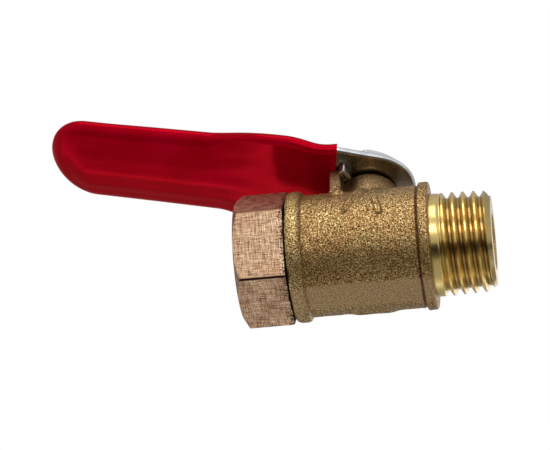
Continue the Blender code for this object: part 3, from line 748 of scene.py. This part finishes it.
def build_connector(hexagon_brass, bright, gap_shade):
    angles, hexagon_radius = hexagon(HEX_HALF, HEX_EDGE, math.radians(90))
    corner = HEX_HALF / math.cos(math.radians(30))
    slope = HEX_CHAMFER / (corner - HEX_HALF)
    shoulder = HEX_LEFT + 0.06 * MM + (hexagon_radius - HEX_HALF) * slope
    back = HEX_RIGHT - 0.05 * MM - (hexagon_radius - HEX_HALF) * 0.25
    outside = [(HEX_HALF - 0.12 * MM, HEX_LEFT), (hexagon_radius, shoulder)]
    for share in np.linspace(0.1, 0.9, 9):
        outside.append((hexagon_radius, shoulder + (back - shoulder) * share))
    outside += [(hexagon_radius, back), (hexagon_radius - 0.06 * MM, HEX_RIGHT)]
    joint = [(SPIGOT_RADIUS, HEX_RIGHT), (SPIGOT_RADIUS, HEX_RIGHT + 1.2 * MM)]
    inside = [(SPIGOT_RADIUS, SPIGOT_END), (FLOW_RADIUS, SPIGOT_END),
              (FLOW_RADIUS, HEX_LEFT + SOCKET_DEPTH + 0.9 * MM)]

    def female_radius(x, depth, _):
        mouth = SOCKET_RADIUS - (x - HEX_LEFT) * PIPE_TAPER
        root = mouth + PIPE_DEPTH * depth
        flare = SOCKET_RADIUS + 0.75 * MM - (x - HEX_LEFT)
        return np.maximum(root, flare)

    thread = thread_rows("X", angles, HEX_LEFT, HEX_LEFT + SOCKET_DEPTH, PIPE_PITCH,
                         female_radius)
    # The spigot in the gap takes the near-black painted shade.
    bands = [(turned("X", angles, outside), 0, 0), (turned("X", angles, joint), 0, 2),
             (turned("X", angles, inside), 0, 1), (thread[::-1], -STATIONS, 1)]
    connector = ring_mesh("hex_connector", bands, [hexagon_brass, bright, gap_shade], sharp=28)
    _, y, z = np.array([v.co for v in connector.data.vertices]).T
    paint(connector.data, "tarnish", smooth_step(z, 0.3 * MM, 0.9 * MM) * (y < 0))
    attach(connector, "housing")
    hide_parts("end_connector")


# ---------------------------------------------------------------- ball and stem

def build_ball(chrome):
    radius = ball_high.y
    edge = 0.18 * MM
    reach = math.acos((PORT_RADIUS + edge) / radius)
    sphere = [(radius * math.cos(a), radius * math.sin(a))
              for a in np.linspace(-reach, reach, 65)]
    lip = sphere[-1][1]
    rim = []
    for turn in (30, 60, 90):
        a = math.radians(turn)
        rim.append((PORT_RADIUS + edge * (1 - math.sin(a)), lip - edge * (1 - math.cos(a))))
    profile = sphere + rim + [(r, -x) for r, x in reversed(rim)]
    ball = ring_mesh("ball_plated", [(turned("X", even_angles(128), profile), 0, 0)], [chrome])
    slot = rounded_box("slot_cutter", SLOT_SIZE, 0.1 * MM, [chrome], 2)
    slot.location = (0.0, 0.0, SLOT_LEVEL)
    cut(ball, slot, "DIFFERENCE")
    smooth(ball, 30)
    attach(ball, "closure")
    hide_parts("ball")


def stud_radius(z, depth, angles):
    crest = np.minimum(STUD_RADIUS, STUD_RADIUS - 0.35 * MM + (stem_high.z - z))
    thread = np.minimum(crest, STUD_RADIUS - 0.40 * MM * depth)
    flat = STUD_HALF_FLATS / np.maximum(np.abs(np.sin(angles)), 0.05)
    return np.minimum(thread, flat)


def build_stem(dull):
    angles = even_angles(96)
    thread = thread_rows("Z", angles, STEM_SHOULDER, stem_high.z, STUD_PITCH, stud_radius)
    low, high = BLOWOUT_LEVELS
    lower = [(0.0, low), (BLOWOUT_RADIUS, low), (BLOWOUT_RADIUS, high), (STEM_RADIUS, high)]
    for level in O_RING_LEVELS:
        lower += [(STEM_RADIUS, level - 0.5 * MM), (GROOVE_RADIUS, level - 0.5 * MM),
                  (GROOVE_RADIUS, level + 0.5 * MM), (STEM_RADIUS, level + 0.5 * MM)]
    lower += [(STEM_RADIUS, STEM_SHOULDER)]
    bands = [(turned("Z", angles, lower), 0, 0), (thread, STATIONS, 0),
             (turned("Z", angles, [(0.0, stem_high.z)]), 0, 0)]
    stem = ring_mesh("stem_spindle", bands, [dull], closed=False)
    tang = rounded_box("tang", TANG_SIZE, 0.15 * MM, [dull], 2)
    tang.location = (0.0, 0.0, stem_low.z + TANG_SIZE[2] / 2)
    cut(stem, tang, "UNION")
    smooth(stem, 32)
    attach(stem, "handle")
    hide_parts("stem")


def build_nut(steel):
    angles, hexagon_radius = hexagon(NUT_HALF, 0.12 * MM, 0.0)
    rise = (hexagon_radius - NUT_HALF + 0.2 * MM) * math.tan(math.radians(30))
    low, high = nut_low.z, nut_high.z
    rim = NUT_HALF - 0.2 * MM
    outside = [(rim, low), (hexagon_radius, low + rise), (hexagon_radius, (low + high) / 2),
               (hexagon_radius, high - rise), (rim, high)]
    bore = STUD_RADIUS + 0.35 * MM

    def bore_radius(z, depth, _):
        inner = bore - 0.36 * MM * (1 - depth)
        flare = bore + 0.12 * MM - np.minimum(z - low, high - z)
        return np.maximum(inner, flare)

    thread = thread_rows("Z", angles, low, high, STUD_PITCH, bore_radius)
    bands = [(turned("Z", angles, outside), 0, 0), (thread[::-1], -STATIONS, 0)]
    nut = ring_mesh("nut_hexagon", bands, [steel], sharp=28)
    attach(nut, "handle")
    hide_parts("handle_nut")


# ---------------------------------------------------------------- lever

def rise_angle(s):
    return (NECK_RISE * smooth_step(s, *NECK_BEND)
            + (HANDLE_RISE - NECK_RISE) * smooth_step(s, *HANDLE_BEND))


def path_table():
    """Places along the lever's middle line, at even steps from the stem."""
    steps = np.linspace(0.0, 50 * MM, 1001)
    angle = rise_angle((steps[1:] + steps[:-1]) / 2)
    run = np.diff(steps)
    x = np.concatenate([[0.0], -np.cumsum(np.cos(angle) * run)])
    z = LEVER_LEVEL + np.concatenate([[0.0], np.cumsum(np.sin(angle) * run)])
    return steps, x, z


PATH = path_table()


def lever_frame(s):
    steps, xs, zs = PATH
    angle = rise_angle(max(s, 0.0))
    x = np.interp(s, steps, xs) if s > 0 else -s
    place = np.array([x, 0.0, np.interp(max(s, 0.0), steps, zs)])
    return place, np.array([math.sin(angle), 0.0, math.cos(angle)])


def fold_point(across, half, angle):
    """Outward and upward place of a point on a sheet whose side is bent up by an angle."""
    flat = max(half - FOLD_LENGTH, 0.0)
    if across <= flat or angle < 1e-6:
        return across, 0.0
    radius = (half - flat) / angle
    turned_by = (across - flat) / radius
    return flat + radius * math.sin(turned_by), radius * (1 - math.cos(turned_by))


def sheet_width(s):
    """Half width of the unfolded sheet: flare off the round head, neck, handle, slight taper."""
    head = HEAD_RADIUS - PLATE_EDGE
    beyond = s + head * math.sin(HEAD_FLARE)
    flare = head * math.cos(HEAD_FLARE) + beyond * math.tan(HEAD_FLARE)
    run = SHEET_WAIST + (SHEET_NECK - SHEET_WAIST) * float(smooth_step(s, *WAIST_TO_NECK))
    run += (SHEET_HANDLE - SHEET_NECK) * float(smooth_step(s, FOLD_START, FOLD_FULL))
    run += (SHEET_TIP - SHEET_HANDLE) * float(np.clip((s - FOLD_FULL) / (17 * MM), 0, 1))
    return min(flare, run)


def slant(s):
    """How far the spokes lean, so that the vinyl's end is cut at a slight angle."""
    lean = smooth_step(s, 0.0, GRIP_START)
    return GRIP_SLANT * float(lean - smooth_step(s, GRIP_START, GRIP_START + GRIP_SLANT_FADE))


def edge_width(s, side):
    """Half width where a leaning spoke meets the edge."""
    half = sheet_width(s)
    for _ in range(4):
        half = sheet_width(s + slant(s) * side * half)
    return half


def sheet_point(s, across, half, direction=None):
    if direction is None:
        s = s + slant(s) * across
    origin, normal = lever_frame(s)
    outward, upward = fold_point(abs(across), half, FOLD_ANGLE * float(
        smooth_step(s, FOLD_START, FOLD_FULL)))
    if direction is None:
        spoke = np.array([0.0, math.copysign(1.0, across), 0.0])
    else:
        spoke = TIP_BLUNTNESS * math.cos(direction) * np.array([-normal[2], 0.0, normal[0]])
        spoke = spoke + np.array([0.0, math.sin(direction), 0.0])
    return origin + spoke * outward + normal * upward


def sheet_spokes(head, count=70, rows=16):
    """Spokes of the middle sheet, down one side, round the tip and up the other side."""
    shares = np.sin(np.linspace(0, math.pi / 2, rows))
    stations = np.linspace(GRIP_START, TIP_CENTRE, count)
    sides = []
    for side in (-1, 1):
        lines = []
        if head:
            lines += head_spokes(side, shares)
        for s in stations:
            half = edge_width(s, side)
            lines.append([sheet_point(s, side * half * share, half) for share in shares])
        sides.append(lines)
    half = sheet_width(TIP_CENTRE)
    fan = []
    for direction in np.linspace(-math.pi / 2, math.pi / 2, 41)[1:-1]:
        fan.append([sheet_point(TIP_CENTRE, half * share, half, direction)
                    for share in shares])
    return np.array(sides[0] + fan + sides[1][::-1])


def head_spokes(side, shares):
    """Spokes of the round head about the stem, then of the neck up to the vinyl's edge."""
    lines = []
    radius = HEAD_RADIUS - PLATE_EDGE
    for turn in np.linspace(0, math.pi / 2 - HEAD_FLARE, 24):
        tip = np.array([radius * math.cos(turn), side * radius * math.sin(turn)])
        lines.append([(tip[0] * v, tip[1] * v, LEVER_LEVEL) for v in shares])
    start = -radius * math.sin(HEAD_FLARE)
    for s in np.linspace(start, GRIP_START, 18)[1:-1]:
        half = edge_width(s, side)
        middle = max(s, 0.0)
        line = []
        for v in shares:
            across = side * half * v
            along = middle + (s - middle) * v
            place, _ = lever_frame(along + slant(s) * across)
            line.append(place + np.array([0.0, across, 0.0]))
        lines.append(line)
    return lines


def sheet_normals(grid):
    """Unit normals of the sheet, on the side that faces up at the stem."""
    along = np.gradient(grid, axis=0)
    outward = np.gradient(grid, axis=1)
    outward[:, 0] = grid[:, 1] - grid[:, 0]
    normal = np.cross(along, outward)
    normal[:, 0] = normal[:, 1]
    length = np.linalg.norm(normal, axis=-1, keepdims=True)
    normal = normal / np.maximum(length, 1e-12)
    if normal[len(grid) // 3, 0, 2] < 0:
        normal = -normal
    return normal


def wrapped_sheet(grid, half_thickness, rounding, arc=8):
    """Each spoke as a loop from the middle over the top, round the edge and back below."""
    normal = sheet_normals(grid)
    edge = grid[:, -1] - grid[:, -2]
    edge -= normal[:, -1] * np.sum(edge * normal[:, -1], axis=-1, keepdims=True)
    edge /= np.maximum(np.linalg.norm(edge, axis=-1, keepdims=True), 1e-12)
    columns = [grid[:, j] + normal[:, j] * half_thickness for j in range(grid.shape[1])]
    for step in range(1, arc):
        a = math.pi * step / arc
        columns.append(grid[:, -1] + edge * rounding * math.sin(a)
                       + normal[:, -1] * half_thickness * math.cos(a))
    columns += [grid[:, j] - normal[:, j] * half_thickness
                for j in reversed(range(grid.shape[1]))]
    return np.stack(columns, axis=1)


def grid_faces(count, columns, offset=0):
    faces = []
    for i in range(count - 1):
        for j in range(columns - 1):
            a = offset + i * columns + j
            faces.append((a, a + 1, a + columns + 1, a + columns))
    return faces


def build_plate(steel):
    grid = sheet_spokes(head=True)
    shell = wrapped_sheet(grid, PLATE_HALF, PLATE_EDGE)
    faces = grid_faces(*shell.shape[:2])
    plate = mesh_object("lever_plate", shell, faces, [0] * len(faces), [steel])

    angles = even_angles(64)
    clear = 0.12 * MM
    flat = (STUD_HALF_FLATS + clear) / np.maximum(np.abs(np.sin(angles)), 0.05)
    radius = np.minimum(STUD_RADIUS + clear, flat)
    rows = turned("Z", angles, [(0.0, 9 * MM), (radius, 9 * MM), (radius, 15 * MM),
                                (0.0, 15 * MM)])
    cut(plate, ring_mesh("hole", [(rows, 0, 0)], [steel], closed=False), "DIFFERENCE")
    for side in (-1, 1):
        ear = rounded_box("ear", EAR_SIZE, 0.3 * MM, [steel])
        turn = Matrix.Rotation(math.pi + side * EAR_AZIMUTH, 4, "Z")
        ear.matrix_world = turn @ Matrix.Translation(EAR_PLACE)
        cut(plate, ear, "UNION")
    paint_under_shade(plate.data)
    smooth(plate, 40)
    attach(plate, "handle")
    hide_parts("lever")


def paint_under_shade(mesh):
    """Point values that the zinc material reads: painted shade below the plate and on its ears."""
    x, y, z = np.array([v.co for v in mesh.vertices]).T
    downward = np.array([-v.normal.z for v in mesh.vertices])
    ears = (z < LEVER_LEVEL - PLATE_HALF - 0.05 * MM) * (np.hypot(x, y) < 7.5 * MM)
    paint(mesh, "under_shade", np.maximum(smooth_step(downward, 0.5, 0.9), ears))


def grip_relief(grid, columns):
    """The underside's pressed form: a soft ridge down the middle and a groove inside each edge."""
    steps = np.linalg.norm(np.diff(grid, axis=1), axis=-1)
    out = np.concatenate([np.zeros((len(grid), 1)), np.cumsum(steps, axis=1)], axis=1)
    inset = out[:, -1:] - out
    height = 0.24 * MM * np.exp(-(out / (1.5 * MM)) ** 2)
    height = height - 0.26 * MM * np.exp(-((inset - 2.6 * MM) / (1.0 * MM)) ** 2)
    height = height * smooth_step(-grid[:, :1, 0], 13 * MM, 21 * MM)
    relief = np.zeros((len(grid), columns))
    relief[:, columns - grid.shape[1]:] = height[:, ::-1]
    return relief


def build_grip(vinyl):
    grid = sheet_spokes(head=False, count=110, rows=22)
    outer = wrapped_sheet(grid, GRIP_HALF, GRIP_HALF, 14)
    inner = wrapped_sheet(grid, PLATE_HALF + 0.06 * MM, PLATE_EDGE + 0.06 * MM, 14)
    outward = outer - inner
    outward /= np.maximum(np.linalg.norm(outward, axis=-1, keepdims=True), 1e-12)
    relief = 0.035 * MM * grain(outer, 5 * MM, 5) + grip_relief(grid, outer.shape[1])
    outer = outer + outward * relief[..., None]
    count, columns = outer.shape[:2]
    faces = grid_faces(count, columns) + grid_faces(count, columns, count * columns)
    for row in (0, count - 1):
        for j in range(columns - 1):
            a = row * columns + j
            b = a + count * columns
            faces.append((a, a + 1, b + 1, b))
    points = np.concatenate([outer.reshape(-1, 3), inner.reshape(-1, 3)])
    grip = mesh_object("vinyl_grip", points, faces, [0] * len(faces), [vinyl])
    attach(grip, "handle")
    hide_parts("lever_grip")


# ---------------------------------------------------------------- studio

CAMERA_AZIMUTH = math.radians(9.938)
CAMERA_ELEVATION = math.radians(-45.734)
CAMERA_ROLL = math.radians(2.052)
CAMERA_DISTANCE = 382.18 * MM
CAMERA_AIM = (12.484 * MM, -3.449 * MM)   # the origin from the view's centre, right and up
CAMERA_LENS = 189.28
TENT = [                             # brightness by angle above the camera's own direction
    (-180, 0.42), (-135, 0.40), (-114, 0.45), (-98, 1.00), (-84, 0.62), (-66, 0.38),
    (-38, 0.44), (-30, 0.26), (-24, 0.09), (3, 0.08), (6, 0.55), (22, 0.66), (40, 0.85),
    (60, 0.80), (90, 0.70), (150, 0.50), (180, 0.42),
]


def camera_axes():
    flat = math.cos(CAMERA_ELEVATION)
    back = Vector((math.sin(CAMERA_AZIMUTH) * flat, -math.cos(CAMERA_AZIMUTH) * flat,
                   math.sin(CAMERA_ELEVATION)))
    level = (-back).cross(Vector((0, 0, 1))).normalized()
    rise = level.cross(-back)
    right = math.cos(CAMERA_ROLL) * level + math.sin(CAMERA_ROLL) * rise
    up = math.cos(CAMERA_ROLL) * rise - math.sin(CAMERA_ROLL) * level
    return right, up, back


def add_camera():
    right, up, back = camera_axes()
    data = bpy.data.cameras.new("camera")
    data.lens = CAMERA_LENS
    data.sensor_width = 36.0
    data.clip_start, data.clip_end = 0.01, 10.0
    camera = linked("camera", data)
    camera.matrix_world = Matrix((right, up, back)).transposed().to_4x4()
    camera.location = back * CAMERA_DISTANCE - right * CAMERA_AIM[0] - up * CAMERA_AIM[1]
    bpy.context.scene.camera = camera


def add_light(name, toward, distance, size, power, target=(0, 0, 0)):
    data = bpy.data.lights.new(name, "AREA")
    data.shape = "RECTANGLE"
    data.size, data.size_y = size
    data.energy = power
    light = linked(name, data)
    direction = Vector(toward).normalized()
    light.location = Vector(target) + direction * distance
    light.rotation_mode = "QUATERNION"
    light.rotation_quaternion = direction.to_track_quat("Z", "Y")


def add_world(up, back):
    """White to the camera, and to everything else a tent that is dark round the camera."""
    world = bpy.data.worlds.new("studio")
    bpy.context.scene.world = world
    world.use_nodes = True
    tree = world.node_tree
    tree.nodes.clear()
    direction = node(tree, "ShaderNodeTexCoord").outputs["Generated"]
    rise = node(tree, "ShaderNodeVectorMath", {0: direction, 1: up},
                operation="DOT_PRODUCT").outputs["Value"]
    toward = node(tree, "ShaderNodeVectorMath", {0: direction, 1: back},
                  operation="DOT_PRODUCT").outputs["Value"]
    slope = maths(tree, "ARCTAN2", rise, toward)
    stops = [((degrees + 180) / 360, (level, level, level * 1.01)) for degrees, level in TENT]
    glow = ramp(tree, span(tree, slope, -math.pi, math.pi), *stops)
    seen = node(tree, "ShaderNodeLightPath").outputs["Is Camera Ray"]
    colour = mixed(tree, seen, glow, (1.0, 1.0, 1.0, 1))
    background = node(tree, "ShaderNodeBackground", {"Color": colour, "Strength": 1.0})
    output = node(tree, "ShaderNodeOutputWorld")
    tree.links.new(background.outputs[0], output.inputs[0])


def add_floor():
    bpy.ops.mesh.primitive_plane_add(size=6.0, location=(0.0, 0.0, -0.35))
    floor = bpy.context.object
    floor.name = "floor"
    floor.visible_glossy = False
    pale = new_look("pale_floor", Roughness=0.9, Base_Color=(0.9, 0.9, 0.9, 1))[0]
    floor.data.materials.append(pale)


def add_lens_shade(right, up, back):
    """The dark round the camera, which the polished brass mirrors as a dark band."""
    shape = bmesh.new()
    bmesh.ops.create_circle(shape, cap_ends=True, segments=48, radius=0.075)
    mesh = bpy.data.meshes.new("lens_shade")
    shape.to_mesh(mesh)
    shape.free()
    shade = linked("lens_shade", mesh)
    card = new_look("black_card", Roughness=1.0, Base_Color=(0.02, 0.02, 0.02, 1))[0]
    mesh.materials.append(card)
    shade.matrix_world = Matrix((right, up, back)).transposed().to_4x4()
    shade.location = back * (CAMERA_DISTANCE + 0.03) - up * 0.045
    shade.visible_camera = False
    shade.visible_diffuse = False
    shade.visible_shadow = False


def add_studio():
    right, up, back = camera_axes()
    add_camera()
    add_world(up, back)
    add_floor()
    add_lens_shade(right, up, back)
    front = back * math.cos(math.radians(38)) + up * math.sin(math.radians(38))
    add_light("front_softbox", front, 0.5, (0.30, 0.16), 0.35)
    add_light("top_softbox", up * 0.9 + back * 0.1 - right * 0.2, 0.5, (0.4, 0.3), 0.6)
    add_light("low_strip", (-0.49, 0.69, -0.54), 0.45, (0.16, 0.06), 0.02,
              target=(-0.027, 0.0, 0.018))
    add_light("back_fill", (0.4, 0.8, 0.5), 0.6, (0.4, 0.4), 0.4)


# ---------------------------------------------------------------- assembly

def main():
    cast, dull, bright = cast_brass(), machined_brass(), polished_brass()
    steel, vinyl, chrome = zinc_steel(), red_vinyl(), chrome_plate()
    ptfe, rubber = ptfe_white(), nitrile_black()

    build_casting(cast, dull, bright)
    build_connector(forged_hex(), bright, joint_gap_shade())
    build_ball(chrome)
    build_stem(dull)
    build_nut(steel)
    build_plate(steel)
    build_grip(vinyl)

    for name, material in (("seat_ring_inlet", ptfe), ("seat_ring_outlet", ptfe),
                           ("stem_thrust_washer", ptfe), ("stem_o_ring_lower", rubber),
                           ("stem_o_ring_upper", rubber)):
        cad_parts[name].material_slots[0].material = material
    add_studio()
    bpy.context.scene.view_settings.view_transform = "Standard"


main()
